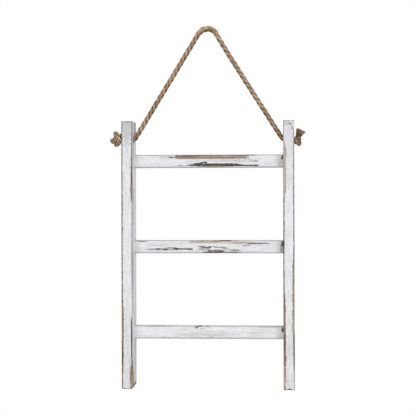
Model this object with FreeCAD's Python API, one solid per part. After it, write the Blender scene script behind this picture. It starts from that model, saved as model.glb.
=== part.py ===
import FreeCAD, Part
import math
import os

# Wall towel ladder: two rails, three rungs and a knotted rope to hang it by.
# Millimetres. +Z is up, the front faces -Y and the wall is on the +Y side.
# The origin is on the inside of the rope at the top of its loop, where a hook carries the ladder.

# Rails: rectangular stock with the narrow face to the front
rail_length = 500.0
rail_width = 20.5
rail_depth = 30.0
rail_edge_round = 1.2
rail_end_chamfer = 0.8
inside_width = 282.0

# Rungs: flat bars with well rounded edges, set back from the front of the rails
rung_height = 25.0
rung_thickness = 11.0
rung_edge_round = 4.5
rung_setback = 16.0
top_rung_drop = 74.5
rung_pitch = 162.0
rung_names = ("top", "middle", "bottom")

# Countersunk wood screws, two in each end of a rung
screw_length = 40.0
screw_shank_diameter = 3.5
screw_head_diameter = 7.0
screw_spacing = 12.0
screw_head_sink = 0.3
screw_clearance = 0.1
pilot_spare_depth = 1.5
recess_length = 4.2
recess_width = 0.9
recess_depth = 1.3

# Rope, the holes it goes through and the loop it hangs in
rope_diameter = 10.0
rope_clearance = 0.5
rope_hole_drop = 34.0
rope_hole_from_front = 17.0
hole_mouth_round = 4.5
hole_outer_chamfer = 1.0
loop_rise = 175.5
hook_radius = 20.0

# Overhand stopper knots, drawn tight, and the frayed ends beyond them
knot_rope_diameter = {"left": 7.8, "right": 5.8}
knot_strand_gap = 0.6
knot_seat_gap = 0.3
knot_tail_lead = {"left": 3.2, "right": 4.0}
tail_length = {"left": 5.0, "right": 12.0}
tail_spread_diameter = {"left": 9.5, "right": 18.0}

# Where each knot's path starts and ends, as a turn round the trefoil, and where its end points:
# towards the front, up and out from the rail
knot_core_angle = 300.0
knot_entry_angle = 290.0
knot_exit_angle = {"left": 36.0, "right": 33.0}
knot_step_count = 7
tail_direction = {"left": (0.50, -0.45, 0.60), "right": (0.10, 0.93, 0.25)}

# How far each knot is rolled round the rope, and its hand: the two are tied opposite ways
knot_roll_angle = {"left": 290.0, "right": 245.0}
knot_hand_ratio = {"left": 1, "right": -1}

# A trefoil whose ring is two waves wide brings its strands this many waves together at its core
trefoil_ratio = 1.64

# Two bends closer than this touch with no straight run between them
shortest_run = 0.001

# A cord is measured against itself on this many points, this many diameters apart along it
gap_point_count = 240
gap_apart_ratio = 2.2

Vec = FreeCAD.Vector

rope_radius = rope_diameter / 2
loop_radius = hook_radius + rope_radius
mouth_bend_radius = hole_mouth_round + rope_clearance + rope_radius
rope_hole_radius = rope_radius + rope_clearance

rail_top_z = rope_radius - loop_rise
rail_bottom_z = rail_top_z - rail_length
hole_z = rail_top_z - rope_hole_drop
rail_front_y = -rope_hole_from_front
rail_inner_x = inside_width / 2
rail_outer_x = rail_inner_x + rail_width
rung_front_y = rail_front_y + rung_setback
rung_middle_y = rung_front_y + rung_thickness / 2


def rung_z(index):
    """Height of the middle of a rung, counted from the top one."""
    return rail_top_z - top_rung_drop - index * rung_pitch


def screw_rows():
    """Name and offset from the rung's middle of the two screws in a joint."""
    return (("upper", screw_spacing / 2), ("lower", -screw_spacing / 2))


def revolve_about_x(points, y, z):
    """Solid of revolution about a line along X, from the (x, radius) corners of its outline.

    A corner may be a pair of points instead: the middle and the end of an arc.
    """
    edges = []
    start = Vec(points[0][0], points[0][1], 0)
    for point in points[1:] + points[:1]:
        if isinstance(point[0], tuple):
            middle = Vec(point[0][0], point[0][1], 0)
            end = Vec(point[1][0], point[1][1], 0)
            edges.append(Part.Arc(start, middle, end).toShape())
        else:
            end = Vec(point[0], point[1], 0)
            edges.append(Part.LineSegment(start, end).toShape())
        start = end
    solid = Part.Face(Part.Wire(edges)).revolve(Vec(0, 0, 0), Vec(1, 0, 0), 360)
    solid.translate(Vec(0, y, z))
    return solid


def rope_hole_cutter(side):
    """The rope's hole in a rail: rounded where the rope bends, chamfered where the knot sits."""
    round_start = (rail_inner_x + hole_mouth_round, rope_hole_radius)
    round_end = (rail_inner_x, rope_hole_radius + hole_mouth_round)
    bulge = hole_mouth_round * (1 - math.sqrt(0.5))
    round_middle = (rail_inner_x + bulge, rope_hole_radius + bulge)
    outline = [
        (rail_inner_x, 0),
        round_end,
        (round_middle, round_start),
        (rail_outer_x - hole_outer_chamfer, rope_hole_radius),
        (rail_outer_x, rope_hole_radius + hole_outer_chamfer),
        (rail_outer_x, 0),
    ]
    return mirror_to(side, revolve_about_x(outline, 0, hole_z))


def mirror_to(side, shape):
    """Shapes are drawn on the right, at +X, and mirrored for the left."""
    if side == "right":
        return shape
    return shape.mirror(Vec(0, 0, 0), Vec(1, 0, 0))


def screw_outline(grow):
    """Places along X and radii of a countersunk screw on the right, with its head at the outer face."""
    head_x = rail_outer_x - screw_head_sink
    shank_radius = screw_shank_diameter / 2 + grow
    head_radius = screw_head_diameter / 2 + grow
    cone_end_x = head_x - (head_radius - shank_radius)
    tip_x = head_x - screw_length
    return head_x, head_radius, cone_end_x, shank_radius, tip_x


def make_screw(z):
    """A countersunk wood screw with a plain shank and a cross recess in its head."""
    head_x, head_radius, cone_end_x, shank_radius, tip_x = screw_outline(0)
    outline = [
        (tip_x, 0),
        (tip_x, shank_radius),
        (cone_end_x, shank_radius),
        (head_x, head_radius),
        (head_x, 0),
    ]
    screw = revolve_about_x(outline, rung_middle_y, z)
    corner_x = head_x - recess_depth
    for length_y, length_z in ((recess_length, recess_width), (recess_width, recess_length)):
        corner = Vec(corner_x, rung_middle_y - length_y / 2, z - length_z / 2)
        screw = screw.cut(Part.makeBox(recess_depth, length_y, length_z, corner))
    return screw


def screw_hole_cutter(z):
    """The countersunk hole through the rail and the pilot hole in the end of the rung."""
    _, head_radius, cone_end_x, shank_radius, tip_x = screw_outline(screw_clearance)
    pilot_end_x = tip_x - pilot_spare_depth
    outline = [
        (pilot_end_x, 0),
        (pilot_end_x, shank_radius),
        (cone_end_x, shank_radius),
        (rail_outer_x, head_radius + screw_head_sink),
        (rail_outer_x, 0),
    ]
    return revolve_about_x(outline, rung_middle_y, z)


def all_screw_holes(side, indices):
    """The screw holes of the given rungs at one side."""
    cutters = []
    for index in indices:
        for _, offset in screw_rows():
            cutters.append(mirror_to(side, screw_hole_cutter(rung_z(index) + offset)))
    return cutters


def edges_along_z(rail):
    """The four long arrises of a rail."""
    return [edge for edge in rail.Edges if edge.BoundBox.ZLength > rail_length / 2]


def edges_at_ends(rail):
    """The arrises round the top and the foot of a rail."""
    return [edge for edge in rail.Edges if edge.BoundBox.ZLength < rail_length / 2]


def make_rail(side):
    """One upright, with its arrises eased, its rope hole and its screw holes."""
    corner = Vec(rail_inner_x, rail_front_y, rail_bottom_z)
    rail = Part.makeBox(rail_width, rail_depth, rail_length, corner)
    rail = rail.makeFillet(rail_edge_round, edges_along_z(rail))
    rail = rail.makeChamfer(rail_end_chamfer, edges_at_ends(rail))
    rail = mirror_to(side, rail)
    cutters = [rope_hole_cutter(side)]
    cutters += all_screw_holes(side, range(len(rung_names)))
    return rail.cut(cutters)


def make_rung(index):
    """One rung, cut square at both ends, with its pilot holes."""
    corner = Vec(-rail_inner_x, rung_front_y, rung_z(index) - rung_height / 2)
    rung = Part.makeBox(inside_width, rung_thickness, rung_height, corner)
    long_edges = [edge for edge in rung.Edges if edge.BoundBox.XLength > inside_width / 2]
    rung = rung.makeFillet(rung_edge_round, long_edges)
    cutters = all_screw_holes("left", [index])
    cutters += all_screw_holes("right", [index])
    return rung.cut(cutters)


def rope_slope():
    """Angle of the taut rope between the rounded hole mouth and the top of the loop."""
    run_x = rail_inner_x + hole_mouth_round
    run_z = (rope_radius - loop_radius) - (hole_z + mouth_bend_radius)
    both_radii = loop_radius + mouth_bend_radius
    return math.atan2(run_z, run_x) + math.asin(both_radii / math.hypot(run_x, run_z))


def rope_route():
    """Corner points of the rope from the left knot to the right one, with the radius of each bend."""
    half_turn = math.tan(rope_slope() / 2)
    end_x = rail_outer_x + knot_seat_gap
    mouth_x = rail_inner_x + hole_mouth_round - mouth_bend_radius * half_turn
    top_x = loop_radius * half_turn
    right_half = [
        (Vec(top_x, 0, rope_radius), loop_radius),
        (Vec(mouth_x, 0, hole_z), mouth_bend_radius),
        (Vec(end_x, 0, hole_z), 0),
    ]
    left_half = [(Vec(-point.x, point.y, point.z), radius) for point, radius in reversed(right_half)]
    return left_half + right_half


def bent_wire(route):
    """Straight runs joined by arcs that touch them, through the corner points of a route."""
    edges = []
    start = route[0][0]
    for (before, _), (corner, radius), (after, _) in zip(route, route[1:], route[2:]):
        way_in = (corner - before).normalize()
        way_out = (after - corner).normalize()
        turn = way_in.getAngle(way_out)
        reach = radius * math.tan(turn / 2)
        arc_start = corner - way_in * reach
        arc_end = corner + way_out * reach
        inward = (way_out - way_in).normalize()
        arc_middle = corner + inward * (radius / math.cos(turn / 2) - radius)
        if (arc_start - start).Length > shortest_run:
            edges.append(Part.LineSegment(start, arc_start).toShape())
        edges.append(Part.Arc(arc_start, arc_middle, arc_end).toShape())
        start = arc_end
        print("bend radius", round(radius, 2), "turn", round(math.degrees(turn), 1))
    edges.append(Part.LineSegment(start, route[-1][0]).toShape())
    return Part.Wire(edges)


def sweep_round(wire, start, direction, diameter):
    """A round bar of one diameter along a wire."""
    circle = Part.Wire([Part.Circle(start, direction, diameter / 2).toShape()])
    tube = wire.makePipeShell([circle], True, False)
    expected = math.pi * diameter ** 2 / 4 * wire.Length
    print("tube volume over section times length:", round(tube.Volume / expected, 4))
    return tube


def make_rope():
    """The hanging rope from one knot to the other."""
    wire = bent_wire(rope_route())
    print("rope between the knots:", round(wire.Length, 1))
    return sweep_round(wire, rope_route()[0][0], Vec(1, 0, 0), rope_diameter)


def knot_wave(side):
    """Height of a knot's waves, so that its strands pass each other with their gap."""
    return (knot_rope_diameter[side] + knot_strand_gap) / trefoil_ratio


def trefoil(wave, angle):
    """Point and direction on a trefoil laid flat to a rail, as (front, rise, out) from its centre."""
    turn = math.radians(angle)
    radius = 2 * wave + wave * math.cos(3 * turn)
    radius_rate = -3 * wave * math.sin(3 * turn)
    front = radius * math.cos(2 * turn)
    rise = radius * math.sin(2 * turn)
    out = wave * math.sin(3 * turn)
    front_rate = radius_rate * math.cos(2 * turn) - 2 * rise
    rise_rate = radius_rate * math.sin(2 * turn) + 2 * front
    out_rate = 3 * wave * math.cos(3 * turn)
    return Vec(front, rise, out), Vec(-front_rate, -rise_rate, -out_rate).normalize()


def rolled(side, place):
    """A (front, rise, out) vector of a knot, with the knot's hand and its roll round the rope."""
    roll = math.radians(knot_roll_angle[side])
    front = place.x * knot_hand_ratio[side]
    turned_front = front * math.cos(roll) - place.y * math.sin(roll)
    turned_rise = front * math.sin(roll) + place.y * math.cos(roll)
    return Vec(turned_front, turned_rise, place.z)


def knot_stations(side):
    """Points and directions along a knot, from the rope's end to the frayed tail, as (front, rise, out).

    The strand at the knot's core lies on the rope's axis, so the rope runs straight into it.
    """
    wave = knot_wave(side)
    core = trefoil(wave, knot_core_angle)[0]
    seat = knot_seat_gap + wave + knot_rope_diameter[side] / 2
    centre = Vec(-core.x, -core.y, seat)
    stations = [(Vec(0, 0, knot_seat_gap), Vec(0, 0, 1))]
    for step in range(knot_step_count + 1):
        part_done = step / knot_step_count
        turn = knot_entry_angle + (knot_exit_angle[side] - knot_entry_angle) * part_done
        point, direction = trefoil(wave, turn)
        stations.append((rolled(side, centre + point), rolled(side, direction)))
    last_point, last_direction = stations[-1]
    aim = Vec(*tail_direction[side]).normalize()
    lead = (last_direction + aim).normalize() * knot_tail_lead[side]
    stations.append((last_point + lead, aim))
    return stations


def beside_rail(side, place):
    """A point given as (front, rise, out) from the mouth of the rope hole, in the ladder's frame."""
    sign = 1 if side == "right" else -1
    return Vec(sign * (rail_outer_x + place.z), -place.x, hole_z + place.y)


def turned_to_rail(side, direction):
    """A direction given as (front, rise, out), in the ladder's frame."""
    sign = 1 if side == "right" else -1
    return Vec(sign * direction.z, -direction.x, direction.y)


def arc_from(start, direction, end):
    """The arc that leaves a point in a given direction and reaches another point."""
    chord = end - start
    along = Vec(chord).normalize()
    bulge = (direction - along * direction.dot(along)).normalize()
    lean = direction.getAngle(chord)
    middle = start + chord * 0.5 + bulge * (chord.Length / 2 * math.tan(lean / 2))
    print("knot bend radius", round(chord.Length / 2 / math.sin(lean), 2))
    return Part.Arc(start, middle, end).toShape()


def biarc(start, start_direction, end, end_direction):
    """Two arcs that join two points smoothly, with a given direction at each."""
    chord = end - start
    both = start_direction + end_direction
    bend = 2 * (1 - start_direction.dot(end_direction))
    lean = chord.dot(both)
    reach = (math.sqrt(lean ** 2 + bend * chord.dot(chord)) - lean) / bend
    meet = (start + end + (start_direction - end_direction) * reach) * 0.5
    first = arc_from(start, start_direction, meet)
    second = arc_from(end, end_direction * -1, meet)
    second.reverse()
    return [first, second]


def least_gap(wire, diameter):
    """Least gap between two stretches of one cord that lie apart along it, measured on points."""
    points = wire.discretize(Number=gap_point_count)
    step = wire.Length / (len(points) - 1)
    apart = math.ceil(gap_apart_ratio * diameter / step)
    distances = []
    for index, point in enumerate(points):
        distances += [(point - other).Length for other in points[index + apart:]]
    return min(distances) - diameter


def make_knot(side):
    """One overhand knot: a single round strand that loops through itself."""
    stations = [(beside_rail(side, point), turned_to_rail(side, way)) for point, way in knot_stations(side)]
    edges = []
    for (start, start_way), (end, end_way) in zip(stations, stations[1:]):
        edges += biarc(start, start_way, end, end_way)
    wire = Part.Wire(edges)
    diameter = knot_rope_diameter[side]
    print("knot", side, "length", round(wire.Length, 1))
    print("knot", side, "least gap", round(least_gap(wire, diameter), 2))
    return sweep_round(wire, stations[0][0], stations[0][1], diameter)


def make_tail(side):
    """The frayed end of the rope beyond a knot, spread out like a brush."""
    point, way = knot_stations(side)[-1]
    base = beside_rail(side, point)
    axis = turned_to_rail(side, way)
    root_radius = knot_rope_diameter[side] / 2
    spread_radius = tail_spread_diameter[side] / 2
    return Part.makeCone(root_radius, spread_radius, tail_length[side], base, axis)


def make_all():
    """Every piece under its own name."""
    pieces = {}
    for side in ("left", "right"):
        pieces["rail_" + side] = make_rail(side)
    for index, name in enumerate(rung_names):
        pieces["rung_" + name] = make_rung(index)
        for side in ("left", "right"):
            for row, offset in screw_rows():
                screw = make_screw(rung_z(index) + offset)
                pieces["screw_" + name + "_" + side + "_" + row] = mirror_to(side, screw)
    pieces["hanging_rope"] = make_rope()
    for side in ("left", "right"):
        pieces["knot_" + side] = make_knot(side)
        pieces["tail_" + side] = make_tail(side)
    return pieces


os.makedirs("parts", exist_ok=True)
for node, shape in make_all().items():
    shape.exportStep("parts/" + node + ".step")
    print(node, shape.ShapeType, len(shape.Solids), shape.isValid(), round(shape.Volume, 1))
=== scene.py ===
# %% [markdown]
# # A wall towel ladder, dressed for a picture
# The ladder is two painted rails, three rungs and a rope that is knotted outside the rails.
# The woodwork and the screws come from the solid model and only need a finish. The rope, its knots and
# its frayed ends are soft, so they are made again here, yarn by yarn, along the same route.
# Everything is in metres. +Z is up, the front faces -Y and the origin is inside the top of the rope loop.

# %% Load the frame
import bpy
import math
from functools import partial
from mathutils import Matrix, Vector


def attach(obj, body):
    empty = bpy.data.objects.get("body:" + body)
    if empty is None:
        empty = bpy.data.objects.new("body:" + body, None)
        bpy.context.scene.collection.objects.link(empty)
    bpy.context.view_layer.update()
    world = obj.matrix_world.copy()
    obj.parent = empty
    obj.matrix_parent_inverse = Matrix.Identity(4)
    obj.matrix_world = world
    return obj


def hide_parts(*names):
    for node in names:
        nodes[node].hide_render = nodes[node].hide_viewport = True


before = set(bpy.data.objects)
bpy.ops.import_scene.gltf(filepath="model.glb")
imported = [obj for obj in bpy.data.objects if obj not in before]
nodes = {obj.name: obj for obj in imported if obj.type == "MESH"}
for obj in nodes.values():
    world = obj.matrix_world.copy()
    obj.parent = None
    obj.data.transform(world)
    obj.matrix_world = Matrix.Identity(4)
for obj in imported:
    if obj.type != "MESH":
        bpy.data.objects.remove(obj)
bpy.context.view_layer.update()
print("pieces of the solid model:", len(nodes))

# %% [markdown]
# ## Tools for building node trees
# Materials and Geometry Nodes are both trees of small steps. Written out, each step takes a line to add
# the node and one more for every option and link. One helper does all of that in a single call, and the
# short ones after it name the steps that come back most, so each tree below reads as a list.

# %% Helpers for node trees
def place(tree, kind, inputs=None, **settings):
    """Adds a node, sets its options, and fills or links its inputs."""
    made = tree.nodes.new(kind)
    for name, value in settings.items():
        setattr(made, name, value)
    for name, value in (inputs or {}).items():
        if isinstance(value, bpy.types.NodeSocket):
            tree.links.new(value, made.inputs[name])
        else:
            made.inputs[name].default_value = value
    return made


def tree_of(*values):
    """The tree that the linked values among some values belong to."""
    return next(value.id_data for value in values if isinstance(value, bpy.types.NodeSocket))


def figure(operation, first, second=0.0, third=0.0):
    """One step of arithmetic on numbers."""
    inputs = {0: first, 1: second, 2: third}
    return place(tree_of(*inputs.values()), "ShaderNodeMath", inputs, operation=operation).outputs[0]


# The sums that come back most get names of their own.
SUMS = ("ADD", "SUBTRACT", "MULTIPLY", "DIVIDE", "MAXIMUM")
plus, minus, times, over, larger = (partial(figure, name) for name in SUMS)


def on_vector(operation, first, second=(0.0, 0.0, 0.0)):
    """One step of arithmetic on vectors."""
    inputs = {0: first, 1: second}
    return place(tree_of(first, second), "ShaderNodeVectorMath", inputs, operation=operation).outputs[0]


def scaled(vector, factor):
    """A vector or a colour multiplied by a number."""
    inputs = {0: vector, "Scale": factor}
    return place(tree_of(vector, factor), "ShaderNodeVectorMath", inputs, operation="SCALE").outputs[0]


def split(vector):
    """The X, Y and Z of a vector."""
    return place(vector.id_data, "ShaderNodeSeparateXYZ", {0: vector}).outputs


def joined(**numbers):
    """A vector made of the X, Y and Z that are given, and 0 for the others."""
    return place(tree_of(*numbers.values()), "ShaderNodeCombineXYZ", numbers).outputs[0]


def ease(value, low, high, start=0.0, end=1.0):
    """A soft step: start below low, end above high."""
    inputs = {"Value": value, "From Min": low, "From Max": high, "To Min": start, "To Max": end}
    return place(value.id_data, "ShaderNodeMapRange", inputs, interpolation_type="SMOOTHSTEP").outputs[0]


def blend_colours(share, first, second):
    """Goes from the first colour to the second as share goes from 0 to 1."""
    tree = share.id_data
    made = place(tree, "ShaderNodeMix", {0: share}, data_type="RGBA")
    for socket, value in ((made.inputs[6], first), (made.inputs[7], second)):
        if isinstance(value, bpy.types.NodeSocket):
            tree.links.new(value, socket)
        else:
            socket.default_value = (*value, 1.0)
    return made.outputs[2]


def layered(base, layers):
    """Lays colours over a base one after another, each with its own share."""
    colour = base
    for share, layer in layers:
        colour = blend_colours(share, colour, layer)
    return colour


def noise(where, scale, detail=2.0, roughness=0.5):
    """Soft random values from 0 to 1."""
    inputs = {"Vector": where, "Scale": scale, "Detail": detail, "Roughness": roughness}
    return place(where.id_data, "ShaderNodeTexNoise", inputs).outputs[0]


print("node helpers ready")

# %% [markdown]
# ## Camera
# The picture was taken from in front and a little to the right, at a height between the top rung and the
# middle one. The uprights stay upright, and the left rail shows its inner side while the right rail shows
# only its front. Turning the camera towards the ladder would make the rungs slant, so it looks nearly
# straight ahead, and a small lens shift brings the ladder to the middle of the picture.

# %% Camera
FRONT_Y = -0.017
CAMERA_PLACE = (0.1242, FRONT_Y - 1.0065, -0.2955)
CAMERA_DEGREES = (90.06, 0.15, 1.717)
LENS_SHIFT = (-0.12, -0.05)
camera_data = bpy.data.cameras.new("camera")
camera_data.lens = 47.0
camera_data.sensor_width = 36.0
camera_data.shift_x, camera_data.shift_y = LENS_SHIFT
camera = bpy.data.objects.new("camera", camera_data)
camera.location = CAMERA_PLACE
camera.rotation_euler = [math.radians(angle) for angle in CAMERA_DEGREES]
bpy.context.scene.collection.objects.link(camera)
bpy.context.scene.camera = camera
bpy.context.scene.view_settings.view_transform = "Standard"
print("camera at", tuple(round(value, 3) for value in camera.location))

# %% [markdown]
# ## Light
# The light in the picture is soft and comes from the front, and it throws no hard shadow. Small lamps
# would, so three wide ones are used: a key on the right, a fill on the left, and one behind for the
# ladder's back. A lamp's row gives its name, place, width and power.

# %% Lamps
LAMPS = (
    ("key", (1.15, -1.45, 0.00), 1.1, 17.3),
    ("fill", (-0.95, -1.65, -0.25), 1.2, 13.0),
    ("back", (-0.40, 1.80, 0.10), 1.4, 15.0),
)
LOOK_AT = Vector((0.0, 0.0, -0.36))
for lamp_name, spot, width, power in LAMPS:
    lamp_data = bpy.data.lights.new(lamp_name, "AREA")
    lamp_data.size = width
    lamp_data.energy = power
    lamp = bpy.data.objects.new(lamp_name, lamp_data)
    lamp.location = spot
    lamp.rotation_euler = (LOOK_AT - Vector(spot)).to_track_quat("-Z", "Y").to_euler()
    bpy.context.scene.collection.objects.link(lamp)
print("lamps:", len(LAMPS))

# %% [markdown]
# ## World
# The background is pure white. A world that bright would wash out the paint, so the Light Path node
# keeps the white for what is seen directly or in a reflection. As light on the wood the world is dimmer,
# and dimmer from below than from above, which turns the undersides of the rungs grey.

# %% World
WHITE = (1.0, 1.0, 1.0, 1.0)
AMBIENT_BELOW = 0.25
AMBIENT_ABOVE = 0.50
world = bpy.data.worlds.new("studio")
bpy.context.scene.world = world
world.use_nodes = True
world_tree = world.node_tree
world_tree.nodes.clear()
rays = place(world_tree, "ShaderNodeLightPath").outputs
seen = larger(rays["Is Camera Ray"], rays["Is Glossy Ray"])
seen = larger(seen, rays["Is Transmission Ray"])
sky_direction = place(world_tree, "ShaderNodeTexCoord").outputs["Generated"]
ambient = ease(split(sky_direction)["Z"], -0.1, 0.9, AMBIENT_BELOW, AMBIENT_ABOVE)
brightness = ease(seen, 0.0, 1.0, ambient, 1.0)
sky = place(world_tree, "ShaderNodeBackground", {"Color": WHITE, "Strength": brightness})
place(world_tree, "ShaderNodeOutputWorld", {"Surface": sky.outputs[0]})
print("world:", world.name)

# %% [markdown]
# ## Floor
# A wall piece hangs well above the floor, so the floor is a wide pale disc some way under the ladder.
# Right under the ladder it is partly an ordinary pale surface, which takes a soft shadow. Further out it
# fades into the white of the background, so no edge shows.

# %% Floor
FLOOR_Z = -0.95
FLOOR_RADIUS = 4.0
RIM_POINTS = 96
FADE_START = 0.20
FADE_END = 0.54
NEAR_WHITE = 0.55
PALE_GREY = (0.6, 0.6, 0.6, 1.0)
floor_mesh = bpy.data.meshes.new("floor")
rim = []
for index in range(RIM_POINTS):
    turn = 2 * math.pi * index / RIM_POINTS
    rim.append((FLOOR_RADIUS * math.cos(turn), FLOOR_RADIUS * math.sin(turn), FLOOR_Z))
floor_mesh.from_pydata(rim, [], [list(range(RIM_POINTS))])
floor = bpy.data.objects.new("floor", floor_mesh)
bpy.context.scene.collection.objects.link(floor)

floor_paint = bpy.data.materials.new("pale_floor")
floor_paint.use_nodes = True
floor_tree = floor_paint.node_tree
floor_tree.nodes.clear()
on_floor = place(floor_tree, "ShaderNodeTexCoord").outputs["Object"]
flat = on_vector("MULTIPLY", on_floor, (1.0, 1.0, 0.0))
from_middle = place(floor_tree, "ShaderNodeVectorMath", {0: flat}, operation="LENGTH").outputs["Value"]
far_out = ease(from_middle, FADE_START, FADE_END, NEAR_WHITE, 1.0)
eye = place(floor_tree, "ShaderNodeLightPath").outputs["Is Camera Ray"]
white_share = times(far_out, eye)
matt = place(floor_tree, "ShaderNodeBsdfDiffuse", {"Color": PALE_GREY})
glow = place(floor_tree, "ShaderNodeEmission", {"Color": WHITE, "Strength": 1.0})
mixed = place(floor_tree, "ShaderNodeMixShader", {0: white_share, 1: matt.outputs[0], 2: glow.outputs[0]})
place(floor_tree, "ShaderNodeOutputMaterial", {"Surface": mixed.outputs[0]})
floor_mesh.materials.append(floor_paint)
print("floor at", FLOOR_Z)

# %% [markdown]
# ## From a node tree to a plain piece
# A Geometry Nodes tree is a recipe. It could stay on the piece as a live modifier, but what is handed on
# has to be plain meshes. So the recipe is run once on a small starting mesh, the evaluated result is
# copied into a mesh of its own, and the modifier is taken off again.

# %% Helpers for Geometry Nodes
def add_sockets(tree, side, sockets):
    """Adds named inputs or outputs to a tree, kind by kind."""
    for kind, names in sockets.items():
        for name in names:
            tree.interface.new_socket(name, in_out=side, socket_type="NodeSocket" + kind)


def new_tree(name, sizes):
    """An empty recipe with a geometry input, named sizes and a geometry output."""
    tree = bpy.data.node_groups.new(name, "GeometryNodeTree")
    add_sockets(tree, "INPUT", {"Geometry": ["Geometry"], **sizes})
    add_sockets(tree, "OUTPUT", {"Geometry": ["Geometry"]})
    return tree, place(tree, "NodeGroupInput").outputs


def run_tree(name, tree, start_mesh, sizes):
    """Runs a recipe on a mesh and gives the result as a plain mesh object."""
    carrier = bpy.data.objects.new(name + "_start", start_mesh)
    bpy.context.scene.collection.objects.link(carrier)
    modifier = carrier.modifiers.new("recipe", "NODES")
    modifier.node_group = tree
    for socket in tree.interface.items_tree:
        if socket.in_out == "INPUT" and socket.name in sizes:
            modifier[socket.identifier] = sizes[socket.name]
    graph = bpy.context.evaluated_depsgraph_get()
    evaluated = carrier.evaluated_get(graph)
    mesh = bpy.data.meshes.new_from_object(evaluated, preserve_all_data_layers=True, depsgraph=graph)
    carrier.modifiers.remove(modifier)
    bpy.data.objects.remove(carrier)
    piece = bpy.data.objects.new(name, mesh)
    bpy.context.scene.collection.objects.link(piece)
    return piece


def step(tree, kind, inputs=None, **settings):
    """Adds a geometry node and gives its first output."""
    return place(tree, "GeometryNode" + kind, inputs, **settings).outputs[0]


def position(tree):
    """Where each point is."""
    return step(tree, "InputPosition")


def keep_value(geometry, name, value, kind="FLOAT"):
    """Writes a value on every point, under a name that a material can read."""
    inputs = {"Geometry": geometry, "Name": name, "Value": value}
    return step(geometry.id_data, "StoreNamedAttribute", inputs, data_type=kind, domain="POINT")


def sweep(curve, radius, sides, thickness):
    """Sweeps a ring along a curve. The ring's own points are kept as 'rim'."""
    tree = curve.id_data
    ring = step(tree, "CurvePrimitiveCircle", {"Resolution": sides, "Radius": radius})
    ring = keep_value(ring, "rim", on_vector("NORMALIZE", position(tree)), "FLOAT_VECTOR")
    inputs = {"Curve": curve, "Profile Curve": ring, "Scale": thickness, "Fill Caps": True}
    return step(tree, "CurveToMesh", inputs)


def close_tree(mesh, material):
    """The last steps of a recipe: smooth faces, plain geometry and a finish."""
    tree = mesh.id_data
    smooth = step(tree, "SetShadeSmooth", {0: mesh})
    plain = step(tree, "RealizeInstances", {0: smooth})
    done = step(tree, "SetMaterial", {"Geometry": plain, "Material": material})
    place(tree, "NodeGroupOutput", {"Geometry": done})


def turned_to(vector):
    """The rotation that turns the Z axis to a direction."""
    inputs = {"Vector": vector}
    return place(vector.id_data, "FunctionNodeAlignRotationToVector", inputs, axis="Z").outputs[0]


print("recipe helpers ready")

# %% [markdown]
# ## Tools for finishes
# Every finish here ends in the same way: a colour, a roughness and a bump that change over the surface
# go into one Principled shader. Patterns are laid out in Object coordinates, which stay with the piece.

# %% Helpers for finishes
def new_finish(name):
    """A material with its shader and the place on the piece."""
    finish = bpy.data.materials.new(name)
    finish.use_nodes = True
    tree = finish.node_tree
    here = place(tree, "ShaderNodeTexCoord").outputs["Object"]
    return finish, tree.nodes["Principled BSDF"], here


def dress(shader, colour, roughness, bump):
    """Links a colour, a roughness and a bump to the shader."""
    tree = shader.id_data
    tree.links.new(colour, shader.inputs["Base Color"])
    tree.links.new(roughness, shader.inputs["Roughness"])
    bumped = place(tree, "ShaderNodeBump", bump)
    tree.links.new(bumped.outputs[0], shader.inputs["Normal"])


print("finish helpers ready")

# %% [markdown]
# ## The finish of jute
# Jute is a bast fibre. Its yarns are dull, tan to brown, and no two have quite the same colour. The
# fibres lie along the yarn, so a noise in plain coordinates would look wrong: it has to be drawn out along
# each yarn and twist with it. The recipes below therefore keep values on every point: how far along the
# yarn it is, where on the yarn's rim it sits and a number of the yarn's own. They also keep how near to the
# rope's surface it is and, on laid rope, how far up it faces. From these the finish paints shade into the
# grooves, on the underside and into the root of a frayed end, and it makes the rope darker towards its
# right end.

# %% Jute finish
JUTE_DARK = (0.158, 0.094, 0.041)
JUTE_TAN = (0.526, 0.354, 0.195)
JUTE_PALE = (0.920, 0.730, 0.540)
# Painted shade in the grooves between strands and yarns.
GROOVE_SHADE = (0.050, 0.027, 0.010)
# Painted shade on the underside of the rope.
UNDERSIDE_SHADE = (0.075, 0.045, 0.020)
# A darker tone towards the right end of the rope, near the right rail.
RIGHT_END_DARK = (0.100, 0.062, 0.024)
RIGHT_END_DARK_FROM = 0.105
RIGHT_END_DARK_TO = 0.130
YARN_TURNS = 26.0
FIBRES_ROUND = 2.2
FIBRES_ALONG = 140.0
YARNS_APART = 30.0


def kept(tree, name, output="Fac"):
    """A value that a recipe has kept on the points of a piece."""
    return place(tree, "ShaderNodeAttribute", attribute_name=name).outputs[output]


def fibre_noise(tree):
    """Noise drawn out along each yarn, twisted with it and different in every yarn."""
    along = kept(tree, "along")
    turned = {"Vector": kept(tree, "rim", "Vector"), "Angle": times(along, 2 * math.pi * YARN_TURNS)}
    round_yarn = place(tree, "ShaderNodeVectorRotate", turned, rotation_type="Z_AXIS").outputs[0]
    lengthwise = joined(Z=times(along, FIBRES_ALONG))
    apart = joined(X=times(kept(tree, "tint"), YARNS_APART))
    on_yarn = on_vector("ADD", scaled(round_yarn, FIBRES_ROUND), lengthwise)
    return noise(on_vector("ADD", on_yarn, apart), scale=1.0, detail=5.0, roughness=0.65)


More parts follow.
